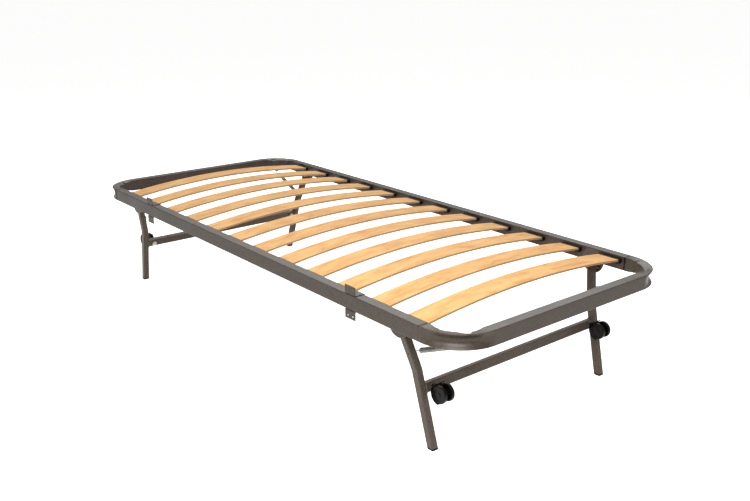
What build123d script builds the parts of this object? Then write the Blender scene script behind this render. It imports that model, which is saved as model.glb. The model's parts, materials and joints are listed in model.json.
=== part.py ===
"""Rollaway bed: a slatted steel frame on two spring-loaded leg frames that fold in onto casters."""

import os
from math import asin, atan, cos, degrees, hypot, sin, sqrt

from build123d import *

os.makedirs("parts", exist_ok=True)

# ---------------------------------------------------------------------------
# Driving dimensions, in millimetres.
# X runs along the bed from its head end to its foot end, Y runs across it from the
# front side, which carries the panel brackets, to the back side, and Z is up. The
# origin is on the floor, under the middle of the bed.
# ---------------------------------------------------------------------------
BED_LENGTH = 1900
BED_WIDTH = 804
FRAME_TOP = 354

TUBE_HEIGHT = 40
TUBE_WIDTH = 30
TUBE_WALL = 1.5
TUBE_EDGE = 2
CORNER_RADIUS = 120
END_TAIL = 10

SLAT_COUNT = 12
SLAT_PITCH = 138.5
SLAT_WIDTH = 70
SLAT_THICK = 6
SLAT_EDGE = 1.5
SLAT_SHIFT = 14
SLAT_CROWN = 25.5
SLAT_CROWN_TOP = FRAME_TOP + 16.5

PIVOT_X = 718
PIVOT_Z = 319
FOOT_X = 801
LEG_SIZE = 20
LEG_EDGE = 2.5
BAR_HEIGHT = 25
BAR_CENTRE_Z = 151

PIN_DIAMETER = 10
RUNNING_FIT = 0.05
PART_GAP = 0.5

# ---------------------------------------------------------------------------
# Dimensions that follow from them
# ---------------------------------------------------------------------------
RAIL_Y = (BED_WIDTH - TUBE_WIDTH) / 2
RAIL_OUTER = BED_WIDTH / 2
RAIL_INNER = BED_WIDTH / 2 - TUBE_WIDTH
END_X = (BED_LENGTH - TUBE_WIDTH) / 2
FRAME_MID = FRAME_TOP - TUBE_HEIGHT / 2
FRAME_BOTTOM = FRAME_TOP - TUBE_HEIGHT
BEND_RADIUS = CORNER_RADIUS - TUBE_WIDTH / 2
CORNER_X = BED_LENGTH / 2 - CORNER_RADIUS
CORNER_Y = BED_WIDTH / 2 - CORNER_RADIUS
RAIL_END_X = CORNER_X - END_TAIL

SLAT_X = [SLAT_SHIFT + (i - (SLAT_COUNT - 1) / 2) * SLAT_PITCH for i in range(SLAT_COUNT)]

LEG_TILT = atan((FOOT_X - PIVOT_X) / PIVOT_Z)
DOWN_LEG = (sin(LEG_TILT), 0, -cos(LEG_TILT))
OUT_OF_LEG = (cos(LEG_TILT), 0, sin(LEG_TILT))
LEG_PLANE = Plane(origin=(PIVOT_X, 0, PIVOT_Z), x_dir=DOWN_LEG, z_dir=OUT_OF_LEG)


def down_leg(height):
    """Distance down the leg, from the pivot, to a height above the floor."""
    return (PIVOT_Z - height) / cos(LEG_TILT)


def save(piece, name):
    """Label a finished piece and write it to its own file."""
    piece.label = name
    export_step(piece, f"parts/{name}.step")


def at_corner(piece, end, side):
    """Carry a piece made at the foot end of the back side to any corner of the bed."""
    with BuildPart() as copy:
        add(piece)
        if end == "head":
            mirror(about=Plane.YZ, mode=Mode.REPLACE)
        if side == "front":
            mirror(about=Plane.XZ, mode=Mode.REPLACE)
    return copy.part


def group(*pieces):
    """Gather like pieces that share one node, each still a solid of its own."""
    return Compound(children=[solid for piece in pieces for solid in piece.solids()])


ENDS = ("head", "foot")
SIDES = ("front", "back")
CORNERS = [(end, side) for end in ENDS for side in SIDES]

# ---------------------------------------------------------------------------
# Side rails: straight rectangular tubes, holed inside for the slat holders' pegs
# ---------------------------------------------------------------------------
PEG_DIAMETER = 8
PEG_SPACING = 44
PEG_LENGTH = 8
PEG_HEIGHT = FRAME_MID + 6
BACK_INNER_FACE = Plane.XZ.offset(-RAIL_INNER)

with BuildPart() as side_rail:
    with BuildSketch(Plane.YZ.offset(-RAIL_END_X)):
        with Locations((RAIL_Y, FRAME_MID)):
            RectangleRounded(TUBE_WIDTH, TUBE_HEIGHT, TUBE_EDGE)
            RectangleRounded(
                TUBE_WIDTH - 2 * TUBE_WALL,
                TUBE_HEIGHT - 2 * TUBE_WALL,
                TUBE_EDGE - TUBE_WALL,
                mode=Mode.SUBTRACT,
            )
    extrude(amount=2 * RAIL_END_X)
    with BuildSketch(BACK_INNER_FACE):
        for slat_x in SLAT_X:
            with Locations((slat_x, PEG_HEIGHT)):
                with GridLocations(PEG_SPACING, 0, 2, 1):
                    Circle(PEG_DIAMETER / 2)
    extrude(amount=-2 * TUBE_WALL, mode=Mode.SUBTRACT)

save(at_corner(side_rail.part, "foot", "front"), "side_rail_front")
save(side_rail.part, "side_rail_back")

# ---------------------------------------------------------------------------
# End tubes: each is bent round both corners of its end. Bending presses the outer
# wall of a corner in, to a groove that fades out where the bend begins and ends.
# ---------------------------------------------------------------------------
GROOVE_DEPTH = 11
GROOVE_HEIGHT = 34
GROOVE_RADIUS = ((GROOVE_HEIGHT / 2) ** 2 + GROOVE_DEPTH**2) / (2 * GROOVE_DEPTH)
GROOVE_SHIFT = 60
GROOVE_SWEEP = 100


def end_tube_outline(inset):
    """The bent tube's outer form, with every wall moved in by inset."""
    centre_shift = GROOVE_SHIFT / sqrt(2)
    ring_radius = CORNER_RADIUS + GROOVE_SHIFT + GROOVE_RADIUS - GROOVE_DEPTH
    with BuildPart() as outline:
        with BuildLine(Plane.XY.offset(FRAME_MID)) as path:
            FilletPolyline(
                (RAIL_END_X, -RAIL_Y),
                (END_X, -RAIL_Y),
                (END_X, RAIL_Y),
                (RAIL_END_X, RAIL_Y),
                radius=BEND_RADIUS,
            )
        with BuildSketch(Plane(origin=path.line @ 0, x_dir=(0, 1, 0), z_dir=path.line % 0)):
            RectangleRounded(
                TUBE_WIDTH - 2 * inset, TUBE_HEIGHT - 2 * inset, TUBE_EDGE - inset
            )
        sweep()
        for side, start in ((1, 45 - GROOVE_SWEEP / 2), (-1, -45 - GROOVE_SWEEP / 2)):
            centre = (CORNER_X - centre_shift, side * (CORNER_Y - centre_shift), FRAME_MID)
            start_plane = Plane(origin=centre).rotated((0, 0, start))
            with BuildSketch(Plane(origin=centre, x_dir=start_plane.x_dir, z_dir=-start_plane.y_dir)):
                with Locations((ring_radius, 0)):
                    Circle(GROOVE_RADIUS + inset)
            revolve(axis=Axis(centre, (0, 0, 1)), revolution_arc=GROOVE_SWEEP, mode=Mode.SUBTRACT)
    return outline.part


with BuildPart() as end_tube:
    add(end_tube_outline(0))
    add(end_tube_outline(TUBE_WALL), mode=Mode.SUBTRACT)

save(at_corner(end_tube.part, "head", "back"), "end_tube_head")
save(end_tube.part, "end_tube_foot")

# ---------------------------------------------------------------------------
# Slats: laminated beech strips, bent to a shallow bow across the bed
# ---------------------------------------------------------------------------
SLAT_END_GAP = 4
SLAT_HALF = RAIL_INNER - SLAT_END_GAP
BOW_RADIUS = (SLAT_HALF**2 + SLAT_CROWN**2) / (2 * SLAT_CROWN)
BOW_CENTRE_Z = SLAT_CROWN_TOP - BOW_RADIUS


def slat_strip(slat_x, clearance):
    """A bowed strip centred on slat_x, grown by a clearance on every face."""
    half_angle = degrees(asin((SLAT_HALF + clearance) / BOW_RADIUS))
    with BuildPart() as strip:
        with BuildSketch(Plane.YZ.offset(slat_x - SLAT_WIDTH / 2 - clearance)):
            with BuildLine():
                top = CenterArc(
                    (0, BOW_CENTRE_Z), BOW_RADIUS + clearance, 90 - half_angle, 2 * half_angle
                )
                bottom = CenterArc(
                    (0, BOW_CENTRE_Z),
                    BOW_RADIUS - SLAT_THICK - clearance,
                    90 - half_angle,
                    2 * half_angle,
                )
                Line(top @ 0, bottom @ 0)
                Line(top @ 1, bottom @ 1)
            make_face()
        extrude(amount=SLAT_WIDTH + 2 * clearance)
    return strip.part


for number, slat_x in enumerate(SLAT_X, start=1):
    with BuildPart() as slat:
        add(slat_strip(slat_x, 0))
        fillet(slat.edges().filter_by(GeomType.CIRCLE), SLAT_EDGE)
    save(slat.part, f"slat_{number:02d}")

# ---------------------------------------------------------------------------
# Slat holders: moulded sockets pegged to the inside of the side rails, each open
# towards the slat whose end it holds
# ---------------------------------------------------------------------------
HOLDER_WALL = 3
HOLDER_WIDTH = SLAT_WIDTH + 2 * HOLDER_WALL
HOLDER_DEPTH = 12
HOLDER_TOP = FRAME_TOP - 7
HOLDER_HEIGHT = 14
HOLDER_EDGE = 1
HOLDER_CORNER = 5
HOLDER_PLAY = 0.15

with BuildPart() as slat_holder:
    with BuildSketch(BACK_INNER_FACE):
        with Locations((0, HOLDER_TOP - HOLDER_HEIGHT / 2)):
            RectangleRounded(HOLDER_WIDTH, HOLDER_HEIGHT, HOLDER_CORNER)
    extrude(amount=HOLDER_DEPTH)
    fillet(slat_holder.faces().sort_by(Axis.Y)[0].edges(), HOLDER_EDGE)
    add(slat_strip(0, HOLDER_PLAY), mode=Mode.SUBTRACT)
    with BuildSketch(BACK_INNER_FACE):
        with Locations((0, PEG_HEIGHT)):
            with GridLocations(PEG_SPACING, 0, 2, 1):
                Circle(PEG_DIAMETER / 2 - 2 * RUNNING_FIT)
    extrude(amount=-PEG_LENGTH)

holders = [Pos(slat_x, 0, 0) * slat_holder.part for slat_x in SLAT_X]
save(group(*[at_corner(holder, "foot", "front") for holder in holders]), "slat_holders_front")
save(group(*holders), "slat_holders_back")

# ---------------------------------------------------------------------------
# Pivot plates: round plates welded inside the side rails, each notched round the slat
# holder nearest it. A plate carries the pivot bolt and the pin that stops the open leg.
# ---------------------------------------------------------------------------
PLATE_RADIUS = 37
PLATE_THICK = 3
PLATE_TOP = FRAME_TOP - 3
NOTCH_GAP = 1
PADDLE_RADIUS = 13
PADDLE_THICK = 4
STOP_PIN_RADIUS = 4
STOP_PIN_DOWN = 20
STOP_PIN_GAP = 0.3
STOP_PIN_OUT = PADDLE_RADIUS + STOP_PIN_RADIUS + STOP_PIN_GAP
STOP_PIN_LENGTH = 8
PLATE_FACE_Y = RAIL_INNER - PLATE_THICK
PADDLE_OUTER_Y = PLATE_FACE_Y - PART_GAP
PADDLE_INNER_Y = PADDLE_OUTER_Y - PADDLE_THICK


def across_leg(y):
    """Plane square to Y at the pivot: its x runs down the leg and its y out of it."""
    return Plane(origin=(PIVOT_X, y, PIVOT_Z), x_dir=DOWN_LEG, z_dir=(0, -1, 0))


def pivot_plate(holder_x):
    """The plate at the foot end of the back side, notched round a holder at holder_x."""
    with BuildPart() as plate:
        with BuildSketch(BACK_INNER_FACE):
            with Locations((PIVOT_X, PIVOT_Z)):
                Circle(PLATE_RADIUS)
                Circle(PIN_DIAMETER / 2, mode=Mode.SUBTRACT)
            with Locations((holder_x, HOLDER_TOP - HOLDER_HEIGHT / 2)):
                Rectangle(
                    HOLDER_WIDTH + 2 * NOTCH_GAP, HOLDER_HEIGHT + 2 * NOTCH_GAP, mode=Mode.SUBTRACT
                )
        extrude(amount=PLATE_THICK)
        split(bisect_by=Plane.XY.offset(PLATE_TOP), keep=Keep.BOTTOM)
        with BuildSketch(across_leg(PLATE_FACE_Y)):
            with Locations((STOP_PIN_DOWN, STOP_PIN_OUT)):
                Circle(STOP_PIN_RADIUS)
        extrude(amount=STOP_PIN_LENGTH)
    return plate.part


NEAREST_HOLDER_X = {"head": -SLAT_X[0], "foot": SLAT_X[-1]}
for end, side in CORNERS:
    plate = pivot_plate(NEAREST_HOLDER_X[end])
    save(at_corner(plate, end, side), f"pivot_plate_{end}_{side}")

# ---------------------------------------------------------------------------
# Pivot bolts and their lock nuts
# ---------------------------------------------------------------------------
NUT_ACROSS_FLATS = 17
NUT_THICK = 7
NUT_FACE_Y = PADDLE_INNER_Y - PART_GAP
THREAD_SHOWN = 2
BOLT_CHAMFER = 1
BOLT_END_Y = NUT_FACE_Y - NUT_THICK - THREAD_SHOWN

with BuildPart() as pivot_bolt:
    with BuildSketch(across_leg(RAIL_INNER)):
        Circle(PIN_DIAMETER / 2)
    extrude(amount=RAIL_INNER - BOLT_END_Y)
    chamfer(pivot_bolt.edges().sort_by(Axis.Y)[0], BOLT_CHAMFER)

with BuildPart() as pivot_nut:
    with BuildSketch(across_leg(NUT_FACE_Y)):
        RegularPolygon(NUT_ACROSS_FLATS / 2, 6, major_radius=False)
        Circle(PIN_DIAMETER / 2 + RUNNING_FIT, mode=Mode.SUBTRACT)
    extrude(amount=NUT_THICK)

save(group(*[at_corner(pivot_bolt.part, end, side) for end, side in CORNERS]), "pivot_bolts")
save(group(*[at_corner(pivot_nut.part, end, side) for end, side in CORNERS]), "pivot_nuts")

# ---------------------------------------------------------------------------
# Panel brackets: straps bent round the front rail, with a holed tab above it and
# another below it for screwing on a front panel
# ---------------------------------------------------------------------------
STRAP_THICK = 2
STRAP_WIDTH = 40
STRAP_BEND = 2.5
TAB_REACH = 24
TAB_HOLE_DIAMETER = 5.5
TAB_HOLE_SPACING = 20
TAB_HOLE_OFFSET = 16
BRACKET_X = {"head": -547, "foot": 570}

for end, bracket_x in BRACKET_X.items():
    with BuildPart() as panel_bracket:
        outer_y = -RAIL_OUTER + STRAP_THICK / 2
        inner_y = -RAIL_INNER + STRAP_THICK / 2
        over_z = FRAME_TOP + STRAP_THICK / 2
        under_z = FRAME_BOTTOM - STRAP_THICK / 2
        with BuildSketch(Plane.YZ.offset(bracket_x - STRAP_WIDTH / 2)):
            with BuildLine():
                strap = FilletPolyline(
                    (outer_y, FRAME_TOP + TAB_REACH),
                    (outer_y, over_z),
                    (inner_y, over_z),
                    (inner_y, under_z),
                    (outer_y, under_z),
                    (outer_y, FRAME_BOTTOM - TAB_REACH),
                    radius=STRAP_BEND,
                )
            trace(strap, line_width=STRAP_THICK)
        extrude(amount=STRAP_WIDTH)
        with BuildSketch(Plane.XZ.offset(RAIL_OUTER)):
            with Locations((bracket_x, FRAME_MID)):
                with GridLocations(
                    TAB_HOLE_SPACING, TUBE_HEIGHT + 2 * TAB_HOLE_OFFSET, 2, 2
                ):
                    Circle(TAB_HOLE_DIAMETER / 2)
        extrude(amount=-STRAP_THICK, mode=Mode.SUBTRACT)
    save(panel_bracket.part, f"panel_bracket_{end}")

# ---------------------------------------------------------------------------
# Leg tubes: square tubes that lean out to the floor. The top is bent outwards across
# the bed to reach the rail, and its end is flattened to a paddle round the pivot.
# ---------------------------------------------------------------------------
FOOT_Y = 327
KNEE_Y = 337
KNEE_HEIGHT = 200
KNEE_RADIUS = 120
CRUSH_START = 28
CRUSH_END = 11
CAP_HEIGHT = 6
HOOK_HOLE_DIAMETER = 5
HOOK_HOLE_HEIGHT = 241
PADDLE_EDGE = 1.8
PADDLE_MID_Y = (PADDLE_OUTER_Y + PADDLE_INNER_Y) / 2
TOP_Y = PADDLE_OUTER_Y - LEG_SIZE / 2 - PART_GAP
LEG_BELOW_FLOOR = 12
LEG_INSIDE = LEG_SIZE - 2 * TUBE_WALL
HOOK_HOLE_DOWN = down_leg(HOOK_HOLE_HEIGHT)
KNEE_DOWN = down_leg(KNEE_HEIGHT)
FLOOR_DOWN = down_leg(0)
SPLAY = (KNEE_Y - FOOT_Y) / (FLOOR_DOWN - KNEE_DOWN)


with BuildPart() as leg_tube:
    with BuildLine(LEG_PLANE) as leg_path:
        FilletPolyline(
            (FLOOR_DOWN + LEG_BELOW_FLOOR, FOOT_Y - SPLAY * LEG_BELOW_FLOOR),
            (KNEE_DOWN, KNEE_Y),
            (CRUSH_START, TOP_Y),
            radius=KNEE_RADIUS,
        )
    leg_foot_plane = Plane(origin=leg_path.line @ 0, x_dir=OUT_OF_LEG, z_dir=leg_path.line % 0)
    leg_top_plane = Plane(origin=leg_path.line @ 1, x_dir=OUT_OF_LEG, z_dir=leg_path.line % 1)
    with BuildSketch(leg_foot_plane):
        RectangleRounded(LEG_SIZE, LEG_SIZE, LEG_EDGE)
        RectangleRounded(LEG_INSIDE, LEG_INSIDE, LEG_EDGE - TUBE_WALL, mode=Mode.SUBTRACT)
    sweep(path=leg_path.line)
    with BuildSketch(leg_top_plane):
        RectangleRounded(LEG_SIZE, LEG_SIZE, LEG_EDGE)
    with BuildSketch(
        Plane(
            origin=LEG_PLANE.from_local_coords((CRUSH_END, PADDLE_MID_Y, 0)),
            x_dir=OUT_OF_LEG,
            z_dir=-LEG_PLANE.x_dir,
        )
    ):
        RectangleRounded(2 * PADDLE_RADIUS, PADDLE_THICK, PADDLE_EDGE)
    loft()
    with BuildSketch(across_leg(PADDLE_OUTER_Y)):
        Circle(PADDLE_RADIUS)
        with Locations((CRUSH_END / 2, 0)):
            Rectangle(CRUSH_END, 2 * PADDLE_RADIUS)
    extrude(amount=PADDLE_THICK)
    with BuildSketch(across_leg(PADDLE_OUTER_Y)):
        Circle(PIN_DIAMETER / 2 + RUNNING_FIT)
    extrude(amount=PADDLE_THICK, mode=Mode.SUBTRACT)
    with BuildSketch(across_leg(KNEE_Y)):
        with Locations((HOOK_HOLE_DOWN, 0)):
            Circle(HOOK_HOLE_DIAMETER / 2)
    extrude(amount=LEG_SIZE, both=True, mode=Mode.SUBTRACT)
    split(bisect_by=Plane.XY.offset(CAP_HEIGHT), keep=Keep.TOP)

for end, side in CORNERS:
    save(at_corner(leg_tube.part, end, side), f"leg_tube_{end}_{side}")

# ---------------------------------------------------------------------------
# Leg caps: plastic inserts that close the feet and stand flat on the floor
# ---------------------------------------------------------------------------
CAP_INSERT = 18
CAP_SQUEEZE = 0.1
CAP_EDGE = 1.2

with BuildPart() as leg_cap:
    with BuildSketch(leg_foot_plane):
        RectangleRounded(LEG_SIZE, LEG_SIZE, LEG_EDGE)
    extrude(amount=LEG_BELOW_FLOOR + CAP_HEIGHT + LEG_SIZE)
    split(bisect_by=Plane.XY, keep=Keep.TOP)
    split(bisect_by=Plane.XY.offset(CAP_HEIGHT), keep=Keep.BOTTOM)
    fillet(leg_cap.faces().sort_by(Axis.Z)[0].edges(), CAP_EDGE)
    with BuildSketch(leg_foot_plane.offset(LEG_BELOW_FLOOR + CAP_HEIGHT)):
        RectangleRounded(LEG_INSIDE - 2 * CAP_SQUEEZE, LEG_INSIDE - 2 * CAP_SQUEEZE, LEG_EDGE - TUBE_WALL)
    extrude(amount=CAP_INSERT)

for end in ENDS:
    save(group(*[at_corner(leg_cap.part, end, side) for side in SIDES]), f"leg_caps_{end}")

# ---------------------------------------------------------------------------
# Cross bars: rectangular tubes welded between the two legs of each leg frame, drilled
# through near both ends for the caster stems
# ---------------------------------------------------------------------------
STEM_Y = 305
STEM_DIAMETER = 10
STEM_CLEARANCE = 0.3
BAR_DOWN = down_leg(BAR_CENTRE_Z)


def leg_inside(down):
    """How far from the bed's centre line the inner face of the leg is, below the knee."""
    axis_y = KNEE_Y - SPLAY * (down - KNEE_DOWN)
    return axis_y - LEG_SIZE / 2 * hypot(1, SPLAY)


with BuildPart() as cross_bar:
    bar_top = BAR_DOWN - BAR_HEIGHT / 2
    bar_foot = BAR_DOWN + BAR_HEIGHT / 2
    with BuildSketch(LEG_PLANE.offset(-LEG_SIZE / 2)):
        with BuildLine():
            Polyline(
                (bar_top, leg_inside(bar_top)),
                (bar_foot, leg_inside(bar_foot)),
                (bar_foot, -leg_inside(bar_foot)),
                (bar_top, -leg_inside(bar_top)),
                close=True,
            )
        make_face()
    extrude(amount=LEG_SIZE)
    fillet(cross_bar.edges().filter_by(Axis.Y), LEG_EDGE)
    with BuildSketch(
        Plane(
            origin=LEG_PLANE.from_local_coords((BAR_DOWN, -RAIL_INNER, 0)),
            x_dir=DOWN_LEG,
            z_dir=(0, 1, 0),
        )
    ):
        RectangleRounded(BAR_HEIGHT - 2 * TUBE_WALL, LEG_SIZE - 2 * TUBE_WALL, LEG_EDGE - TUBE_WALL)
    extrude(amount=2 * RAIL_INNER, mode=Mode.SUBTRACT)
    with BuildSketch(LEG_PLANE):
        with Locations((BAR_DOWN, STEM_Y), (BAR_DOWN, -STEM_Y)):
            Circle(STEM_DIAMETER / 2 + STEM_CLEARANCE)
    extrude(amount=LEG_SIZE, both=True, mode=Mode.SUBTRACT)

for end in ENDS:
    save(at_corner(cross_bar.part, end, "back"), f"cross_bar_{end}")

# ---------------------------------------------------------------------------
# Casters: twin-wheel casters on stems bolted through the cross bars. In a caster's
# own plane x is the way its wheels trail, y is along the axle and z leads away from
# the bar. With the legs open the stems lie level and the wheels hang below them.
# ---------------------------------------------------------------------------
CASTER_PLANE = Plane(
    origin=LEG_PLANE.from_local_coords((BAR_DOWN, STEM_Y, LEG_SIZE / 2)),
    x_dir=DOWN_LEG,
    z_dir=OUT_OF_LEG,
)
COLLAR_ACROSS_FLATS = 14
COLLAR_THICK = 4
SWIVEL_PIN_DIAMETER = 8
SWIVEL_PIN_END = 22
STEM_NUT_ACROSS_FLATS = 16
STEM_NUT_THICK = 6
TRAIL = 15
AXLE_REACH = 36
WHEEL_RADIUS = 23
WHEEL_INNER_Y = 8
WHEEL_OUTER_Y = 17
HOUSING_HALF = 7.4
HOOD_GAP = 1.5
HOOD_THICK = 2.5
HOOD_HALF_ANGLE = 72
HUB_RADIUS = 9
AXLE_DIAMETER = 6
AXLE_HALF = 14
BOSS_START = COLLAR_THICK + PART_GAP
BOSS_END = SWIVEL_PIN_END + 3

with BuildPart() as caster_stem:
    with BuildSketch(CASTER_PLANE):
        RegularPolygon(COLLAR_ACROSS_FLATS / 2, 6, major_radius=False)
    extrude(amount=COLLAR_THICK)
    with BuildSketch(CASTER_PLANE):
        Circle(STEM_DIAMETER / 2)
    extrude(amount=-(LEG_SIZE + STEM_NUT_THICK + THREAD_SHOWN))
    with BuildSketch(CASTER_PLANE.offset(COLLAR_THICK)):
        Circle(SWIVEL_PIN_DIAMETER / 2)
    extrude(amount=SWIVEL_PIN_END - COLLAR_THICK)

with BuildPart() as caster_nut:
    with BuildSketch(CASTER_PLANE.offset(-LEG_SIZE)):
        RegularPolygon(STEM_NUT_ACROSS_FLATS / 2, 6, major_radius=False)
        Circle(STEM_DIAMETER / 2 + RUNNING_FIT, mode=Mode.SUBTRACT)
    extrude(amount=-STEM_NUT_THICK)


def caster_side_plane(y):
    """Plane square to the axle, with its origin on the axle and y leading to the bar."""
    return Plane(
        origin=CASTER_PLANE.from_local_coords((TRAIL, y, AXLE_REACH)),
        x_dir=DOWN_LEG,
        z_dir=(0, 1, 0),
    )


def hood_sector(radius):
    """The part of a disc round the axle that the hood spans, centred on the bar side."""
    with BuildSketch() as sector:
        with BuildLine():
            arc = CenterArc((0, 0), radius, 90 - HOOD_HALF_ANGLE, 2 * HOOD_HALF_ANGLE)
            Line((0, 0), arc @ 0)
            Line((0, 0), arc @ 1)
        make_face()
    return sector.sketch


with BuildPart() as caster_housing:
    with BuildSketch(caster_side_plane(-WHEEL_OUTER_Y)):
        add(hood_sector(WHEEL_RADIUS + HOOD_GAP + HOOD_THICK))
        Circle(WHEEL_RADIUS + HOOD_GAP, mode=Mode.SUBTRACT)
    extrude(amount=2 * WHEEL_OUTER_Y)
    with BuildSketch(caster_side_plane(-HOUSING_HALF)):
        add(hood_sector(WHEEL_RADIUS + HOOD_GAP))
        Circle(HUB_RADIUS)
    extrude(amount=2 * HOUSING_HALF)
    with BuildSketch(CASTER_PLANE.offset(BOSS_START)):
        Circle(HOUSING_HALF)
    extrude(amount=BOSS_END - BOSS_START)
    with BuildSketch(CASTER_PLANE.offset(BOSS_START)):
        Circle(SWIVEL_PIN_DIAMETER / 2 + RUNNING_FIT)
    extrude(amount=SWIVEL_PIN_END + PART_GAP - BOSS_START, mode=Mode.SUBTRACT)
    with BuildSketch(caster_side_plane(-HOUSING_HALF)):
        Circle(AXLE_DIAMETER / 2)
    extrude(amount=2 * HOUSING_HALF, mode=Mode.SUBTRACT)

with BuildPart() as caster_axle:
    with BuildSketch(caster_side_plane(-AXLE_HALF)):
        Circle(AXLE_DIAMETER / 2)
    extrude(amount=2 * AXLE_HALF)

RIM_THICK = 3.5
FACE_THICK = 3
FACE_DISH = 1.2
DISH_RADIUS = 17
WHEEL_HUB_RADIUS = 6
TREAD_EDGE = 2
AXLE_END_GAP = 0.3

with BuildPart() as caster_wheel:
    with BuildSketch(caster_side_plane(WHEEL_INNER_Y)):
        Circle(WHEEL_RADIUS)
    extrude(amount=WHEEL_OUTER_Y - WHEEL_INNER_Y)
    fillet(caster_wheel.edges(), TREAD_EDGE)
    with BuildSketch(caster_side_plane(WHEEL_INNER_Y)):
        Circle(WHEEL_RADIUS - RIM_THICK)
        Circle(WHEEL_HUB_RADIUS, mode=Mode.SUBTRACT)
    extrude(amount=WHEEL_OUTER_Y - WHEEL_INNER_Y - FACE_THICK, mode=Mode.SUBTRACT)
    with BuildSketch(caster_side_plane(WHEEL_OUTER_Y)):
        Circle(DISH_RADIUS)
        Circle(WHEEL_HUB_RADIUS, mode=Mode.SUBTRACT)
    extrude(amount=-FACE_DISH, mode=Mode.SUBTRACT)
    with BuildSketch(caster_side_plane(WHEEL_INNER_Y)):
        Circle(AXLE_DIAMETER / 2 + RUNNING_FIT)
    extrude(amount=AXLE_HALF + AXLE_END_GAP - WHEEL_INNER_Y, mode=Mode.SUBTRACT)

# The inner wheel of a caster is its outer wheel mirrored across the middle of the axle.
inner_wheel = mirror(caster_wheel.part, about=Plane.XZ.offset(-STEM_Y))

for end in ENDS:
    save(group(*[at_corner(caster_stem.part, end, side) for side in SIDES]), f"caster_stems_{end}")
    save(group(*[at_corner(caster_nut.part, end, side) for side in SIDES]), f"caster_nuts_{end}")

for end, side in CORNERS:
    save(at_corner(caster_housing.part, end, side), f"caster_housing_{end}_{side}")
    save(at_corner(caster_axle.part, end, side), f"caster_axle_{end}_{side}")
    save(at_corner(caster_wheel.part, end, side), f"caster_wheel_outer_{end}_{side}")
    save(at_corner(inner_wheel, end, side), f"caster_wheel_inner_{end}_{side}")

# ---------------------------------------------------------------------------
# Leg springs: closed coils that pull the legs open, hooked from a hole in the leg to
# a small anchor tab, which reaches down from the inside of the frame's corner
# ---------------------------------------------------------------------------
SPRING_Y = 331
SPRING_DIAMETER = 14
SPRING_WIRE = 2
SPRING_LEG_GAP = 17
SPRING_ANCHOR_GAP = 24
HOOK_BEND = 3
HOOK_REACH = 11
TAB_Y = 335.5
TAB_THICK = 3
TAB_HEIGHT = 12
TAB_LENGTH = 20
ANCHOR_X = 892
ANCHOR_Z = FRAME_BOTTOM - 5

with BuildPart() as spring_anchor:
    with BuildSketch(Plane.XZ.offset(-TAB_Y)):
        with Locations((ANCHOR_X, ANCHOR_Z)):
            Circle(TAB_HEIGHT / 2)
        with Locations((ANCHOR_X + TAB_LENGTH / 2, FRAME_BOTTOM + TAB_HEIGHT / 2)):
            Rectangle(TAB_LENGTH, TAB_HEIGHT)
        make_hull()
        with Locations((ANCHOR_X, ANCHOR_Z)):
            Circle(HOOK_HOLE_DIAMETER / 2, mode=Mode.SUBTRACT)
    extrude(amount=-TAB_THICK)
    with BuildSketch(Plane.XY.offset(ANCHOR_Z - TAB_HEIGHT)):
        with Locations((CORNER_X, CORNER_Y)):
            Circle(CORNER_RADIUS - TUBE_WIDTH)
    extrude(amount=TUBE_HEIGHT, mode=Mode.INTERSECT)

leg_hook = LEG_PLANE.from_local_coords((HOOK_HOLE_DOWN, 0, 0))
spring_run = Vector(ANCHOR_X - leg_hook.X, 0, ANCHOR_Z - leg_hook.Z)
SPRING_PLANE = Plane(
    origin=(leg_hook.X, SPRING_Y, leg_hook.Z), x_dir=(0, 1, 0), z_dir=spring_run.normalized()
)

with BuildPart() as leg_spring:
    with BuildSketch(SPRING_PLANE.offset(SPRING_LEG_GAP)):
        Circle(SPRING_DIAMETER / 2)
    extrude(amount=spring_run.length - SPRING_LEG_GAP - SPRING_ANCHOR_GAP)
    for start, turn in ((0, 1), (spring_run.length, -1)):
        hook_plane = SPRING_PLANE.offset(start)
        gap = SPRING_LEG_GAP if start == 0 else SPRING_ANCHOR_GAP
        with BuildLine() as hook:
            FilletPolyline(
                hook_plane.from_local_coords((0, 0, turn * (gap + SPRING_WIRE))),
                hook_plane.from_local_coords((0, 0, 0)),
                hook_plane.from_local_coords((HOOK_REACH, 0, 0)),
                radius=HOOK_BEND,
            )
        with BuildSketch(Plane(origin=hook.line @ 0, z_dir=hook.line % 0)):
            Circle(SPRING_WIRE / 2)
        sweep(path=hook.line)

save(group(*[at_corner(spring_anchor.part, end, side) for end, side in CORNERS]), "spring_anchors")
for end, side in CORNERS:
    save(at_corner(leg_spring.part, end, side), f"leg_spring_{end}_{side}")
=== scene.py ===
"""Rollaway bed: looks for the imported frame, in the order in which the bed is put together."""

import json
import math

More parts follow.
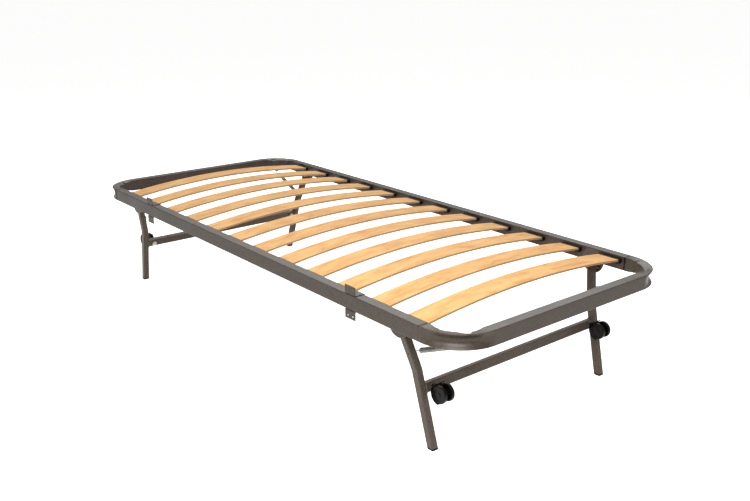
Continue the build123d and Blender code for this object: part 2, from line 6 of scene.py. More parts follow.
import bmesh
import bpy
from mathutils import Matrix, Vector


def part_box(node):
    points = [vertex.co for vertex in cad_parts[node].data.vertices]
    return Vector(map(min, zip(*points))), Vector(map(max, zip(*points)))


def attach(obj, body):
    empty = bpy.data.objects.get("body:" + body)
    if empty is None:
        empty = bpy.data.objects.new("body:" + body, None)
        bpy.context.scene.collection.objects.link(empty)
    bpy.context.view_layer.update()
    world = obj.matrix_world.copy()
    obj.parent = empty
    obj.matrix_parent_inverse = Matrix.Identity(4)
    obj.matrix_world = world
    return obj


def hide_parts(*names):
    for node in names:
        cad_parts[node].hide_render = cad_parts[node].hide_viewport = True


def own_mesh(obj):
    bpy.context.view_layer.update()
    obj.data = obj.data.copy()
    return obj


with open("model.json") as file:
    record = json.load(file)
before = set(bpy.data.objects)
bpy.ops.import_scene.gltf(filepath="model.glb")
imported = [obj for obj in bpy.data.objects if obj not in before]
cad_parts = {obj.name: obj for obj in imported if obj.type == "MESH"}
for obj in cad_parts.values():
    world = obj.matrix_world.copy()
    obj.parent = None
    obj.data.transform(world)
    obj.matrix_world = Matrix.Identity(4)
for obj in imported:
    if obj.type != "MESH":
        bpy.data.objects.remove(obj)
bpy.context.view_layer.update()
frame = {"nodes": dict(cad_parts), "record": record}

# ---------------------------------------------------------------------------
# Side rails. Rectangular steel tube, 40 by 30 mm, sawn from straight lengths and
# powder coated after welding in a satin taupe with fine metal flakes in it.
# ---------------------------------------------------------------------------
SIDES = {"front": -1, "back": 1}
nodes = frame["nodes"]


def linear(hex_colour):
    """An sRGB hex colour, such as "6e6053", as the linear RGBA that shaders take."""
    channels = [int(hex_colour[i : i + 2], 16) / 255 for i in (0, 2, 4)]
    return [c / 12.92 if c <= 0.04045 else ((c + 0.055) / 1.055) ** 2.4 for c in channels] + [1]


def put(tree, kind, inputs=None, **settings):
    """Adds a shader node with its settings; each input takes a value, or a socket to link."""
    made = tree.nodes.new("ShaderNode" + kind)
    for name, value in settings.items():
        setattr(made, name, value)
    for name, value in (inputs or {}).items():
        if isinstance(value, bpy.types.NodeSocket):
            tree.links.new(value, made.inputs[name])
        else:
            made.inputs[name].default_value = value
    return made


def start_material(name):
    """An empty material, as (material, node tree, place in the bed in metres)."""
    material = bpy.data.materials.new(name)
    material.use_nodes = True
    tree = material.node_tree
    tree.nodes.clear()
    place = put(tree, "TexCoord").outputs["Object"]
    return material, tree, place


def finish_material(tree, shader):
    """Links the shader to the material's output."""
    put(tree, "OutputMaterial", {"Surface": shader.outputs[0]})


def powder_coat(name, colour, deep_colour, pale_colour):
    """Satin powder coat on steel: orange peel softens its gloss, and fine flakes glitter in it."""
    material, tree, place = start_material(name)
    # Orange peel is about 1 mm across. It is drawn 2.5 mm across, so that it shows.
    peel = put(tree, "TexNoise", {"Vector": place, "Scale": 1 / 0.0025, "Detail": 3.0})
    # The flakes are 0.05 mm. They are drawn 0.9 mm across, so that they show.
    flakes = put(tree, "TexVoronoi", {"Vector": place, "Scale": 1 / 0.0009})
    flake_tone = put(tree, "SeparateColor", {"Color": flakes.outputs["Color"]}).outputs[0]
    # Handling leaves cloudy marks a hand's width across.
    clouds = put(tree, "TexNoise", {"Vector": place, "Scale": 1 / 0.09, "Detail": 4.0})
    cloud = put(
        tree,
        "MapRange",
        {"Value": clouds.outputs["Fac"], "From Min": 0.35, "From Max": 0.65},
    ).outputs[0]
    body_colour = put(
        tree, "Mix", {0: cloud, 6: linear(deep_colour), 7: linear(colour)}, data_type="RGBA"
    ).outputs[2]
    flake_mask = put(
        tree,
        "MapRange",
        {"Value": flake_tone, "From Min": 0.6, "From Max": 1.0, "To Max": 0.3},
    ).outputs[0]
    flaked = put(
        tree, "Mix", {0: flake_mask, 6: body_colour, 7: linear(pale_colour)}, data_type="RGBA"
    ).outputs[2]
    # Edges carry a thinner, paler coat, rubbed in patches about 12 mm long.
    rounded = put(tree, "Bevel", {"Radius": 0.0025}, samples=4).outputs["Normal"]
    flat = put(tree, "NewGeometry").outputs["Normal"]
    same = put(tree, "VectorMath", {0: rounded, 1: flat}, operation="DOT_PRODUCT").outputs["Value"]
    rubbed = put(tree, "TexNoise", {"Vector": place, "Scale": 1 / 0.012, "Detail": 5.0})
    worn = put(
        tree,
        "MapRange",
        {"Value": same, "From Min": 0.99, "From Max": 0.82, "To Max": 0.55},
    ).outputs[0]
    wear = put(
        tree, "Math", {0: worn, 1: rubbed.outputs["Fac"]}, operation="MULTIPLY"
    ).outputs[0]
    coat = put(
        tree, "Mix", {0: wear, 6: flaked, 7: linear(pale_colour)}, data_type="RGBA"
    ).outputs[2]
    gloss = put(
        tree,
        "MapRange",
        {
            "Value": clouds.outputs["Fac"],
            "From Min": 0.3,
            "From Max": 0.7,
            "To Min": 0.34,
            "To Max": 0.46,
        },
    ).outputs[0]
    bump = put(
        tree, "Bump", {"Height": peel.outputs["Fac"], "Strength": 0.25, "Distance": 0.0002}
    )
    shader = put(
        tree,
        "BsdfPrincipled",
        {
            "Base Color": coat,
            "Metallic": 0.1,
            "Roughness": gloss,
            "IOR": 1.5,
            "Specular IOR Level": 0.2,
            "Normal": bump.outputs[0],
        },
    )
    finish_material(tree, shader)
    return material


def dress(name, material):
    """Gives a CAD node its material."""
    piece = nodes[name]
    piece.data.materials.clear()
    piece.data.materials.append(material)


FRAME_COAT = powder_coat("satin_taupe_powder_coat", "2d251d", "251e18", "6c6256")
for side in SIDES:
    dress(f"side_rail_{side}", FRAME_COAT)

# ---------------------------------------------------------------------------
# End tubes. The same tube as the rails, bent cold round two corners. The bending die
# presses a groove into the outside of each corner, and the walls inside the bend
# buckle a little between two creases.
# ---------------------------------------------------------------------------
ENDS = {"head": -1, "foot": 1}
rail_low, rail_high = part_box("side_rail_front")
end_low, end_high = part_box("end_tube_foot")
TUBE_WIDE = rail_high.y - rail_low.y
TUBE_HIGH = rail_high.z - rail_low.z
TUBE_MID_Z = (rail_high.z + rail_low.z) / 2
TUBE_EDGE = 0.002
CORNER_OUTER = 0.120
BEND = CORNER_OUTER - TUBE_WIDE / 2
CORNER_X = end_high.x - CORNER_OUTER
CORNER_Y = end_high.y - CORNER_OUTER
GROOVE_DEEP = 0.0105
GROOVE_HALF = 0.017
GROOVE_FADE = math.radians(26)
PINCH = 0.0045
# Where each part of the buckle comes on, in degrees turned from the rail: (start, stop).
FIRST_SWELL = (2, 14)
FIRST_CREASE = (15, 20)
SECOND_SWELL = (40, 62)
SECOND_CREASE = (61, 64.5)
FADE_OUT = (66, 86)
BEND_STEPS = 72
WALL_STEPS = 14
ROUND_STEPS = 5


def ease(value):
    """A smooth step from 0 to 1."""
    value = min(max(value, 0.0), 1.0)
    return value * value * (3 - 2 * value)


def tube_section(width, height, edge, along_wall):
    """Points round a rounded rectangle, as (across, up), with along_wall steps on each wall."""
    points = []
    half = (width / 2 - edge, height / 2 - edge)
    corners = [(1, -1, -90), (1, 1, 0), (-1, 1, 90), (-1, -1, 180)]
    for number, (sx, sy, start) in enumerate(corners):
        for step in range(ROUND_STEPS + 1):
            angle = math.radians(start + 90 * step / ROUND_STEPS)
            points.append(
                (sx * half[0] + edge * math.cos(angle), sy * half[1] + edge * math.sin(angle))
            )
        nx, ny, _ = corners[(number + 1) % 4]
        leave = points[-1]
        turn = math.radians(start + 90)
        reach = (nx * half[0] + edge * math.cos(turn), ny * half[1] + edge * math.sin(turn))
        for step in range(1, along_wall):
            t = step / along_wall
            points.append((leave[0] * (1 - t) + reach[0] * t, leave[1] * (1 - t) + reach[1] * t))
    return points


def pinch_at(turned):
    """The share of PINCH by which the inside has buckled, this many degrees from the rail."""

    def come_on(span):
        start, stop = span
        return ease((turned - start) / (stop - start))

    rise = 0.55 * come_on(FIRST_SWELL) + 0.45 * come_on(FIRST_CREASE)
    swell = 1 + 0.75 * come_on(SECOND_SWELL)
    crease = 1 - 0.45 * come_on(SECOND_CREASE)
    fade = 1 - come_on(FADE_OUT)
    return rise * swell * crease * fade


def bent_end_tube(end):
    """Sweeps the tube round one end of the bed, pressing in each corner as it goes."""
    stations = []
    for side in (-1, 1):
        turns = [90 * i / BEND_STEPS for i in range(BEND_STEPS + 1)]
        for turned in turns if side < 0 else reversed(turns):
            angle = math.radians(90 - turned)
            across = Vector((math.cos(angle), side * math.sin(angle), 0))
            centre = Vector((CORNER_X, side * CORNER_Y, TUBE_MID_Z))
            stations.append((centre + across * BEND, across, turned))
    first, last = stations[0], stations[-1]
    tail = Vector((CORNER_X - end_low.x, 0, 0))
    stations.insert(0, (first[0] - tail, first[1], 0))
    stations.append((last[0] - tail, last[1], 0))
    section = tube_section(TUBE_WIDE, TUBE_HIGH, TUBE_EDGE, WALL_STEPS)
    outer_wall = TUBE_WIDE / 2 - 2 * TUBE_EDGE
    mesh = bmesh.new()
    rings = []
    for centre, across, turned in stations:
        spread = min(math.radians(turned), math.radians(90 - turned)) / GROOVE_FADE
        groove = GROOVE_DEEP * ease(spread)
        pinch = PINCH * pinch_at(turned)
        ring = []
        for out, up in section:
            inside = ease((TUBE_WIDE / 2 - TUBE_EDGE - out) / TUBE_WIDE)
            hollow = max(0.0, 1 - (up / GROOVE_HALF) ** 2) if out > outer_wall else 0.0
            moved_out = out - groove * hollow + pinch * inside
            moved_up = up * (1 - pinch * inside / (TUBE_HIGH / 2))
            at = centre + across * moved_out + Vector((0, 0, moved_up))
            ring.append(mesh.verts.new((end * at.x, at.y, at.z)))
        rings.append(ring)
    for ring, after in zip(rings, rings[1:]):
        for i in range(len(ring)):
            j = (i + 1) % len(ring)
            mesh.faces.new((ring[i], ring[j], after[j], after[i]))
    for ring in (rings[0], rings[-1]):
        mesh.faces.new(ring)
    bmesh.ops.recalc_face_normals(mesh, faces=mesh.faces)
    return mesh


def make_piece(name, mesh, material, smooth=True):
    """Turns a finished bmesh into an object with one material."""
    for face in mesh.faces:
        face.smooth = smooth
    data = bpy.data.meshes.new(name)
    mesh.to_mesh(data)
    mesh.free()
    data.materials.append(material)
    piece = bpy.data.objects.new(name, data)
    bpy.context.scene.collection.objects.link(piece)
    return piece


for end, sign in ENDS.items():
    bent = make_piece(f"bent_end_tube_{end}", bent_end_tube(sign), FRAME_COAT)
    bent.modifiers.new("even_shading", "WEIGHTED_NORMAL")
    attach(bent, "frame")
    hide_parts(f"end_tube_{end}")

# ---------------------------------------------------------------------------
# Slat holders. Sockets moulded in black polypropylene with a light spark-eroded grain,
# pushed into the rails by their pegs.
# ---------------------------------------------------------------------------


def moulded_plastic(name, colour, scuff_colour, roughness, grain):
    """Moulded plastic: a fine grain from the mould, with paler scuffs from handling."""
    material, tree, place = start_material(name)
    # The mould's grain is 0.1 mm. It is drawn 1.1 to 1.6 mm across, so that it shows.
    grains = put(tree, "TexNoise", {"Vector": place, "Scale": 1 / grain, "Detail": 2.0})
    # Scuffs are ragged patches about 14 mm across.
    scuffs = put(
        tree,
        "TexNoise",
        {"Vector": place, "Scale": 1 / 0.014, "Detail": 8.0, "Roughness": 0.7},
    )
    scuffed = put(
        tree,
        "MapRange",
        {"Value": scuffs.outputs["Fac"], "From Min": 0.52, "From Max": 0.75, "To Max": 0.5},
    ).outputs[0]
    tone = put(
        tree, "Mix", {0: scuffed, 6: linear(colour), 7: linear(scuff_colour)}, data_type="RGBA"
    ).outputs[2]
    gloss = put(
        tree,
        "MapRange",
        {"Value": scuffed, "To Min": roughness, "To Max": min(1.0, roughness + 0.35)},
    ).outputs[0]
    bump = put(
        tree, "Bump", {"Height": grains.outputs["Fac"], "Strength": 0.3, "Distance": 0.0002}
    )
    shader = put(
        tree,
        "BsdfPrincipled",
        {
            "Base Color": tone,
            "Roughness": gloss,
            "IOR": 1.49,
            "Specular IOR Level": 0.1,
            "Normal": bump.outputs[0],
        },
    )
    finish_material(tree, shader)
    return material


HOLDER_PLASTIC = moulded_plastic("grained_black_polypropylene", "080808", "171615", 0.48, 0.0011)
for side in SIDES:
    dress(f"slat_holders_{side}", HOLDER_PLASTIC)

# ---------------------------------------------------------------------------
# Slats. Five plies of rotary-cut beech, glued in a bowed press and clear lacquered.
# The top ply shows wide soft figure and the short dark flecks of beech; the long
# edges show the plies, toned darker than the top as painted shade.
# ---------------------------------------------------------------------------
slat_low, slat_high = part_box("slat_01")
SLAT_THICK = 0.006
SLAT_RISE = slat_high.z - slat_low.z - SLAT_THICK
SLAT_REACH = slat_high.y
BOW_RADIUS = (SLAT_REACH**2 + SLAT_RISE**2) / (2 * SLAT_RISE)
PLIES = 5
PLY_THICK = SLAT_THICK / PLIES
VENEER_SHIFT = 0.371


def beech(name, shift):
    """Lacquered beech: honey-coloured, with cloudy figure, fine streaks and dark flecks."""
    material, tree, place = start_material(name)
    # The figure runs along the slat, so its pattern is drawn out along Y.
    along = put(
        tree,
        "Mapping",
        {"Vector": place, "Location": (shift, shift * 3.1, shift * 0.7), "Scale": (1.0, 0.3, 1.0)},
    ).outputs[0]
    # Pale clouds in the veneer are about 24 mm wide.
    clouds = put(tree, "TexNoise", {"Vector": along, "Scale": 1 / 0.024, "Detail": 5.0})
    # Growth rings of a rotary-cut veneer are 10 to 30 mm apart, in wavy loops.
    rings = put(
        tree,
        "TexWave",
        {
            "Vector": along,
            "Scale": 1 / 0.11,
            "Distortion": 26.0,
            "Detail": 3.0,
            "Detail Scale": 0.9,
            "Detail Roughness": 0.6,
        },
        bands_direction="X",
    )
    # Fibre streaks are 0.3 mm wide. They are drawn 0.8 mm wide, so that they show.
    fibre_place = put(
        tree, "Mapping", {"Vector": place, "Location": (shift, 0, 0), "Scale": (1.0, 0.035, 1.0)}
    ).outputs[0]
    fibres = put(tree, "TexNoise", {"Vector": fibre_place, "Scale": 1 / 0.0008, "Detail": 3.0})
    # The flecks are cut rays, 2 to 4 mm long and 0.3 mm wide. They are drawn 0.9 mm wide.
    fleck_place = put(
        tree,
        "Mapping",
        {"Vector": place, "Location": (shift * 5, 0, 0), "Scale": (1.0, 0.22, 1.0)},
    ).outputs[0]
    flecks = put(
        tree, "TexVoronoi", {"Vector": fleck_place, "Scale": 1 / 0.0032, "Randomness": 1.0}
    )
    fleck = put(
        tree,
        "MapRange",
        {"Value": flecks.outputs["Distance"], "From Min": 0.24, "From Max": 0.12, "To Max": 0.38},
    ).outputs[0]
    ring_tone = put(
        tree,
        "MapRange",
        {"Value": rings.outputs["Fac"], "From Min": 0.55, "From Max": 1.0, "To Max": 0.55},
    ).outputs[0]
    figure = put(
        tree, "Mix", {0: ring_tone, 6: linear("b58850"), 7: linear("9f6e39")}, data_type="RGBA"
    ).outputs[2]
    cloud_tone = put(
        tree,
        "MapRange",
        {"Value": clouds.outputs["Fac"], "From Min": 0.42, "From Max": 0.62, "To Max": 0.75},
    ).outputs[0]
    clouded = put(
        tree, "Mix", {0: cloud_tone, 6: figure, 7: linear("c59b62")}, data_type="RGBA"
    ).outputs[2]
    fibre_tone = put(
        tree,
        "MapRange",
        {"Value": fibres.outputs["Fac"], "From Min": 0.35, "From Max": 0.75, "To Max": 0.22},
    ).outputs[0]
    streaked = put(
        tree, "Mix", {0: fibre_tone, 6: clouded, 7: linear("a4733c")}, data_type="RGBA"
    ).outputs[2]
    face_colour = put(
        tree, "Mix", {0: fleck, 6: streaked, 7: linear("845728")}, data_type="RGBA"
    ).outputs[2]
    # Plies: how high a point is above the underside, measured from the middle of the bow.
    parts = put(tree, "SeparateXYZ", {"Vector": place})
    level = put(
        tree, "Math", {0: parts.outputs["Z"], 1: BOW_RADIUS - slat_high.z}, operation="ADD"
    ).outputs[0]
    level_squared = put(tree, "Math", {0: level, 1: 2.0}, operation="POWER").outputs[0]
    reach_squared = put(
        tree, "Math", {0: parts.outputs["Y"], 1: 2.0}, operation="POWER"
    ).outputs[0]
    squares = put(
        tree, "Math", {0: level_squared, 1: reach_squared}, operation="ADD"
    ).outputs[0]
    radius = put(tree, "Math", {0: squares}, operation="SQRT").outputs[0]
    height = put(
        tree, "Math", {0: radius, 1: BOW_RADIUS - SLAT_THICK}, operation="SUBTRACT"
    ).outputs[0]
    ply_count = put(tree, "Math", {0: height, 1: PLY_THICK}, operation="DIVIDE").outputs[0]
    in_ply = put(tree, "Math", {0: ply_count}, operation="FRACT").outputs[0]
    ply_number = put(tree, "Math", {0: ply_count}, operation="FLOOR").outputs[0]
    odd = put(tree, "Math", {0: ply_number, 1: 2.0}, operation="MODULO").outputs[0]
    glue = put(
        tree, "MapRange", {"Value": in_ply, "From Min": 0.16, "From Max": 0.04}
    ).outputs[0]
    # Ply tones: the real alternating plies, set darker than the top ply so that they also carry
    # painted shade.
    ply_and_shade_colour = put(
        tree, "Mix", {0: odd, 6: linear("8a6f54"), 7: linear("745941")}, data_type="RGBA"
    ).outputs[2]
    edge_ply_and_shade_colour = put(
        tree, "Mix", {0: glue, 6: ply_and_shade_colour, 7: linear("493526")}, data_type="RGBA"
    ).outputs[2]
    # The plies show where the surface faces sideways rather than up or down. These sideways faces
    # also take darker tones than the top, which is painted shade on the long edges.
    normal = put(tree, "NewGeometry").outputs["Normal"]
    facing = put(tree, "SeparateXYZ", {"Vector": normal}).outputs["Z"]
    flatness = put(tree, "Math", {0: facing}, operation="ABSOLUTE").outputs[0]
    ply_edge_and_shade_mask = put(
        tree, "MapRange", {"Value": flatness, "From Min": 0.85, "From Max": 0.55}
    ).outputs[0]
    wood = put(
        tree, "Mix", {0: ply_edge_and_shade_mask, 6: face_colour, 7: edge_ply_and_shade_colour}, data_type="RGBA"
    ).outputs[2]
    gloss = put(
        tree,
        "MapRange",
        {
            "Value": fibres.outputs["Fac"],
            "From Min": 0.3,
            "From Max": 0.7,
            "To Min": 0.5,
            "To Max": 0.62,
        },
    ).outputs[0]
    relief = put(
        tree, "Bump", {"Height": fibres.outputs["Fac"], "Strength": 0.2, "Distance": 0.00015}
    )
    shader = put(
        tree,
        "BsdfPrincipled",
        {
            "Base Color": wood,
            "Roughness": gloss,
            "IOR": 1.5,
            "Specular IOR Level": 0.1,
            "Normal": relief.outputs[0],
        },
    )
    finish_material(tree, shader)
    return material


slat_names = sorted(name for name in nodes if name.startswith("slat_") and name[5:].isdigit())
for number, name in enumerate(slat_names, start=1):
    # The shift gives each slat its own stretch of veneer.
    dress(name, beech(f"lacquered_beech_{number:02d}", VENEER_SHIFT * number))

# ---------------------------------------------------------------------------
# Pivot plates, spring anchors and panel brackets. Pressed steel. The plates and anchors are
# welded inside the frame, and the brackets are bent round the front rail. All are coated
# after that, so the coat runs over the rippled weld beads too.
# ---------------------------------------------------------------------------
LEG_COAT = powder_coat("satin_grey_powder_coat", "352d26", "2d2620", "7a7165")
WIRE_SIDES = 8
BEAD_WIDTH = 0.0034
RIPPLE_STEP = 0.0006
PLATE_RADIUS = 0.037
# A bead runs up the edge of a plate that faces the middle of the bed, from the start angle
# through the sweep angle, in degrees above the level.
PLATE_WELD_START = -4
PLATE_WELD_SWEEP = 52
PLATE_WELD_STEPS = 12
RAIL_WELD_HALF = 0.031
# How far the middle of a bead is off the faces that it joins.
PLATE_WELD_OFF = 0.0008
RAIL_WELD_OFF = 0.0006
RAIL_INNER_Y = -rail_high.y
PIVOTS = {
    joint["name"].split("_")[-1]: Vector(joint["pos_m"])
    for joint in frame["record"]["behaviour"]["joints"]
    if joint["name"].startswith("leg_fold")
}


def wire_along(points, widths):
    """A round wire through the points, closed at both ends, with a width at each point."""
    mesh = bmesh.new()
    rings = []
    side = None
    for i, point in enumerate(points):
        before = points[max(i - 1, 0)]
        after = points[min(i + 1, len(points) - 1)]
        ahead = (after - before).normalized()
        if side is None:
            side = ahead.orthogonal().normalized()
        side = (side - ahead * side.dot(ahead)).normalized()
        other = ahead.cross(side)
        ring = []
        for k in range(WIRE_SIDES):
            angle = 2 * math.pi * k / WIRE_SIDES
            reach = (side * math.cos(angle) + other * math.sin(angle)) * widths[i] / 2
            ring.append(mesh.verts.new(point + reach))
        rings.append(ring)
    for ring, after in zip(rings, rings[1:]):
        for k in range(WIRE_SIDES):
            j = (k + 1) % WIRE_SIDES
            mesh.faces.new((ring[k], ring[j], after[j], after[k]))
    mesh.faces.new(list(reversed(rings[0])))
    mesh.faces.new(rings[-1])
    bmesh.ops.recalc_face_normals(mesh, faces=mesh.faces)
    return mesh


def weld_bead(name, corners, body):
    """A rippled weld bead along a line of corners, coated with the parts it joins."""
    points = []
    for start, stop in zip(corners, corners[1:]):
        steps = max(2, int((stop - start).length / RIPPLE_STEP))
        points += [start.lerp(stop, i / steps) for i in range(steps)]
    points.append(corners[-1])
    widths = []
    for i in range(len(points)):
        ripple = 1 + 0.16 * math.sin(i * math.pi / 2) + 0.08 * math.sin(i * 0.77)
        widths.append(BEAD_WIDTH * ripple)
    widths[0] = BEAD_WIDTH / 2
    widths[-1] = BEAD_WIDTH / 2
    bead = make_piece(name, wire_along(points, widths), LEG_COAT)
    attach(bead, body)


for end in ENDS:
    dress(f"panel_bracket_{end}", FRAME_COAT)
    for side in SIDES:
        dress(f"pivot_plate_{end}_{side}", LEG_COAT)
dress("spring_anchors", LEG_COAT)
for end, sign in ENDS.items():
    pivot = PIVOTS[end]
    for side, across in SIDES.items():
        plate_y = across * (RAIL_INNER_Y - PLATE_WELD_OFF)
        arc = []
        for step in range(PLATE_WELD_STEPS + 1):
            angle = math.radians(PLATE_WELD_START + PLATE_WELD_SWEEP * step / PLATE_WELD_STEPS)
            reach = Vector((-sign * math.cos(angle), 0, math.sin(angle))) * PLATE_RADIUS
            arc.append(Vector((pivot.x, plate_y, pivot.z)) + reach)
        weld_bead(f"plate_weld_{end}_{side}", arc, "frame")
        under_y = across * (RAIL_INNER_Y + RAIL_WELD_OFF)
        under = [
            Vector((pivot.x + reach, under_y, rail_low.z - RAIL_WELD_OFF))
            for reach in (-RAIL_WELD_HALF, RAIL_WELD_HALF)
        ]
        weld_bead(f"rail_weld_{end}_{side}", under, "frame")

# ---------------------------------------------------------------------------
# Pivot bolts and nuts. Turned and pressed steel, bright zinc plated: a cool grey metal
# with a soft sheen and faint cloudy bloom.
# ---------------------------------------------------------------------------


def zinc_plate(name, bright, dull):
    """Bright zinc plate: soft metallic sheen, dulled in 6 mm patches by white bloom."""
    material, tree, place = start_material(name)
    bloom = put(tree, "TexNoise", {"Vector": place, "Scale": 1 / 0.006, "Detail": 6.0})
    patch = put(
        tree, "MapRange", {"Value": bloom.outputs["Fac"], "From Min": 0.4, "From Max": 0.7}
    ).outputs[0]
    tone = put(
        tree, "Mix", {0: patch, 6: linear(bright), 7: linear(dull)}, data_type="RGBA"
    ).outputs[2]
    gloss = put(tree, "MapRange", {"Value": patch, "To Min": 0.28, "To Max": 0.5}).outputs[0]
    # The pits of the plating are 0.05 mm. They are drawn 0.7 mm across, so that they show.
    pits = put(tree, "TexNoise", {"Vector": place, "Scale": 1 / 0.0007, "Detail": 2.0})
    bump = put(
        tree, "Bump", {"Height": pits.outputs["Fac"], "Strength": 0.2, "Distance": 0.0001}
    )
    shader = put(
        tree,
        "BsdfPrincipled",
        {"Base Color": tone, "Metallic": 1.0, "Roughness": gloss, "Normal": bump.outputs[0]},
    )
    finish_material(tree, shader)
    return material


ZINC = zinc_plate("bright_zinc_plate", "b0afa9", "85847e")
dress("pivot_bolts", ZINC)
dress("pivot_nuts", ZINC)

# ---------------------------------------------------------------------------
# Leg frames. Two bent square tubes of 20 mm and a 25 by 20 mm cross bar, welded together
# and powder coated, with black plastic caps pushed on the feet.
# ---------------------------------------------------------------------------
CAP_PLASTIC = moulded_plastic("scuffed_black_polyethylene", "0b0b0a", "201f1d", 0.55, 0.0014)
for end in ENDS:
    dress(f"cross_bar_{end}", LEG_COAT)
    dress(f"leg_caps_{end}", CAP_PLASTIC)
    for side in SIDES:
        dress(f"leg_tube_{end}_{side}", LEG_COAT)
# The casters' stems go straight through a cross bar, so they give the way that it faces.
BAR_FACING = {
    joint["name"].split("_")[2]: Vector(joint["axis"])
    for joint in frame["record"]["behaviour"]["joints"]
    if joint["name"].startswith("caster_swivel")
}
BAR_HALF_HIGH = 0.0125
BAR_HALF_DEEP = 0.010
BAR_WELD_SHORT = 0.0008
BAR_CORNER = 0.85
BAR_OUTLINE = (
    (1, 0),
    (1, BAR_CORNER),
    (BAR_CORNER, 1),
    (-BAR_CORNER, 1),
    (-1, BAR_CORNER),
    (-1, 0),
)
for end in ENDS:
    bar_low, bar_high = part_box(f"cross_bar_{end}")
    outwards = BAR_FACING[end]
    upwards = Vector((0, 1, 0)).cross(outwards)
    upwards = upwards if upwards.z > 0 else -upwards
    for side, across in SIDES.items():
        bar_end = (bar_low + bar_high) / 2
        bar_end.y = across * (bar_high.y - BAR_WELD_SHORT)
        for half, facing in (("outer", 1), ("inner", -1)):
            loop = [
                bar_end
                + upwards * BAR_HALF_HIGH * up
                + outwards * BAR_HALF_DEEP * out * facing
                for up, out in BAR_OUTLINE
            ]
            weld_bead(f"bar_weld_{half}_{end}_{side}", loop, f"leg_frame_{end}")

# ---------------------------------------------------------------------------
# Casters. Twin wheels and a hooded housing, all moulded in black nylon, on a zinc
# plated axle and stem.
# ---------------------------------------------------------------------------
HOUSING_NYLON = moulded_plastic("black_nylon_housing", "060606", "131312", 0.38, 0.0012)
WHEEL_NYLON = moulded_plastic("black_nylon_wheel", "050505", "121211", 0.3, 0.0016)
for end in ENDS:
    dress(f"caster_stems_{end}", ZINC)
    dress(f"caster_nuts_{end}", ZINC)
    for side in SIDES:
        dress(f"caster_housing_{end}_{side}", HOUSING_NYLON)
        dress(f"caster_axle_{end}_{side}", ZINC)
        dress(f"caster_wheel_outer_{end}_{side}", WHEEL_NYLON)
        dress(f"caster_wheel_inner_{end}_{side}", WHEEL_NYLON)

# ---------------------------------------------------------------------------
# Leg springs. Closed coils of dark, oiled spring wire, hooked through the leg's wall and
# through the anchor tab in the frame's corner.
# ---------------------------------------------------------------------------
SPRING_WIRE = zinc_plate("oiled_spring_wire", "77746e", "55524d")
WIRE = 0.0018
COIL_ACROSS = 0.0138
COIL_PITCH = WIRE * 1.04
COIL_INSET = 0.0025
LEG_GAP = 0.017
ANCHOR_GAP = 0.024
NECK_INSET = 0.001
HOOK_TIP = 0.0025
HOOK_MIDDLE = 0.004
HOOK_HALF = 0.007
HOOK_BULGE = 0.003
HOOK_STEPS = 8
TURN_STEPS = 14


def spring_line(leg_end, anchor_end, side):
    """The wire's line: a hook from the leg, the closed coil, and a hook to the anchor."""
    run = anchor_end - leg_end
    ahead = run.normalized()
    out = Vector((0, side, 0))
    up = ahead.cross(out).normalized()
    radius = (COIL_ACROSS - WIRE) / 2
    coil_length = run.length - LEG_GAP - ANCHOR_GAP
    steps = int(coil_length / COIL_PITCH) * TURN_STEPS
    half_turn = [math.pi * i / HOOK_STEPS for i in range(HOOK_STEPS + 1)]

    def hook(at, away, angle):
        across = out * (HOOK_MIDDLE + HOOK_HALF * math.cos(angle))
        return at + across + away * HOOK_BULGE * math.sin(angle)

    line = [hook(leg_end, -ahead, angle) for angle in half_turn]
    line.append(leg_end + ahead * LEG_GAP / 2 - out * NECK_INSET)
    coil_start = leg_end + ahead * LEG_GAP
    for i in range(steps + 1):
        angle = 2 * math.pi * i / TURN_STEPS
        at = coil_start + ahead * (coil_length * i / steps)
        line.append(at + (out * -math.cos(angle) + up * math.sin(angle)) * radius)
    line.append(anchor_end - ahead * ANCHOR_GAP / 2 - out * NECK_INSET)
    line += [hook(anchor_end, ahead, angle) for angle in reversed(half_turn)]
    return line


for end, sign in ENDS.items():
    for side, across in SIDES.items():
        name = f"leg_spring_{end}_{side}"
        low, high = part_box(name)
        leg_x = low.x + HOOK_TIP if sign > 0 else high.x - HOOK_TIP
        anchor_x = high.x - HOOK_TIP if sign > 0 else low.x + HOOK_TIP
        coil_y = (low.y + high.y) / 2 - across * COIL_INSET
        leg_end = Vector((leg_x, coil_y, low.z + HOOK_TIP))
        anchor_end = Vector((anchor_x, coil_y, high.z - HOOK_TIP))
        line = spring_line(leg_end, anchor_end, across)
        coil = make_piece(f"coil_{name}", wire_along(line, [WIRE] * len(line)), SPRING_WIRE)
        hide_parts(name)
        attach(coil, "frame")
        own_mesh(coil)

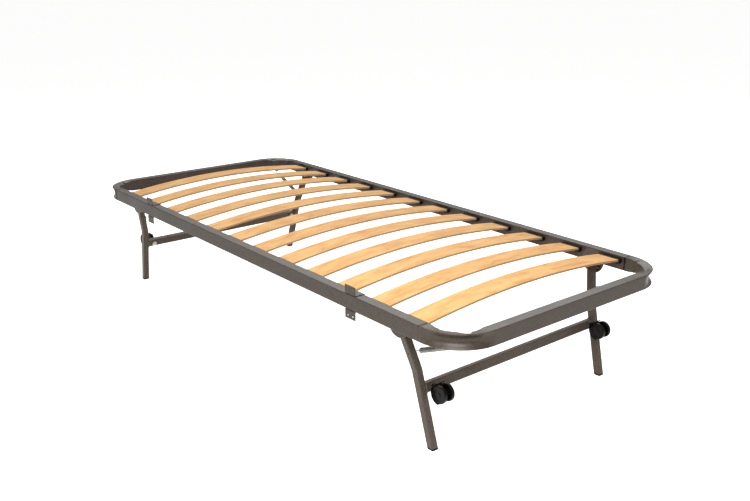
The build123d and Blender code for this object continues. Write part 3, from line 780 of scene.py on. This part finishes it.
# ---------------------------------------------------------------------------
# Studio. A wide pale paper floor, which glows faintly so that it stays near white, in an
# even pale surround. A small soft box stands close to the foot end's front corner, and a
# large one high behind the head end.
# ---------------------------------------------------------------------------
FLOOR_RADIUS = 120
CAMERA_AZIMUTH = math.radians(50.66)
CAMERA_ELEVATION = math.radians(17.91)
IMAGE_WIDTH = 750
floor_mesh = bmesh.new()
bmesh.ops.create_circle(floor_mesh, cap_ends=True, segments=96, radius=FLOOR_RADIUS)
floor_material, floor_tree, _ = start_material("pale_paper_floor")
paper = put(
    floor_tree,
    "BsdfPrincipled",
    {
        "Base Color": linear("fafaf9"),
        "Roughness": 0.9,
        "Specular IOR Level": 0.1,
        "Emission Color": linear("ffffff"),
        "Emission Strength": 0.5,
    },
)
finish_material(floor_tree, paper)
floor = make_piece("studio_floor", floor_mesh, floor_material, smooth=False)

world = bpy.data.worlds.new("soft_studio")
bpy.context.scene.world = world
world.use_nodes = True
surround = world.node_tree.nodes["Background"]
surround.inputs["Color"].default_value = (1, 1, 1, 1)
surround.inputs["Strength"].default_value = 0.5


def softbox(name, place, aim, width, height, power):
    """A rectangular soft light that the camera doesn't see."""
    light = bpy.data.lights.new(name, "AREA")
    light.shape = "RECTANGLE"
    light.size = width
    light.size_y = height
    light.energy = power
    lamp = bpy.data.objects.new(name, light)
    lamp.location = place
    lamp.rotation_mode = "QUATERNION"
    lamp.rotation_quaternion = (Vector(aim) - Vector(place)).to_track_quat("-Z", "Y")
    lamp.visible_camera = False
    bpy.context.scene.collection.objects.link(lamp)


softbox("key_softbox", (1.75, -1.45, 1.8), (0.75, -0.15, 0.3), 1.5, 1.0, 105)
softbox("rim_softbox", (-2.4, 2.1, 3.0), (0.4, -0.1, 0.4), 4.4, 1.8, 155)

camera_data = bpy.data.cameras.new("camera")
camera_data.lens = 42.08
camera_data.sensor_width = 36
camera_data.clip_end = 500
camera = bpy.data.objects.new("camera", camera_data)
camera.location = (2.181, -1.635, 1.125)
back = Vector(
    (
        math.sin(CAMERA_AZIMUTH) * math.cos(CAMERA_ELEVATION),
        -math.cos(CAMERA_AZIMUTH) * math.cos(CAMERA_ELEVATION),
        math.sin(CAMERA_ELEVATION),
    )
)
camera.rotation_mode = "QUATERNION"
camera.rotation_quaternion = (-back).to_track_quat("-Z", "Y")
camera_data.shift_x = -2.2 / IMAGE_WIDTH
camera_data.shift_y = -0.1 / IMAGE_WIDTH
bpy.context.scene.collection.objects.link(camera)
bpy.context.scene.camera = camera
bpy.context.scene.view_settings.view_transform = "Standard"
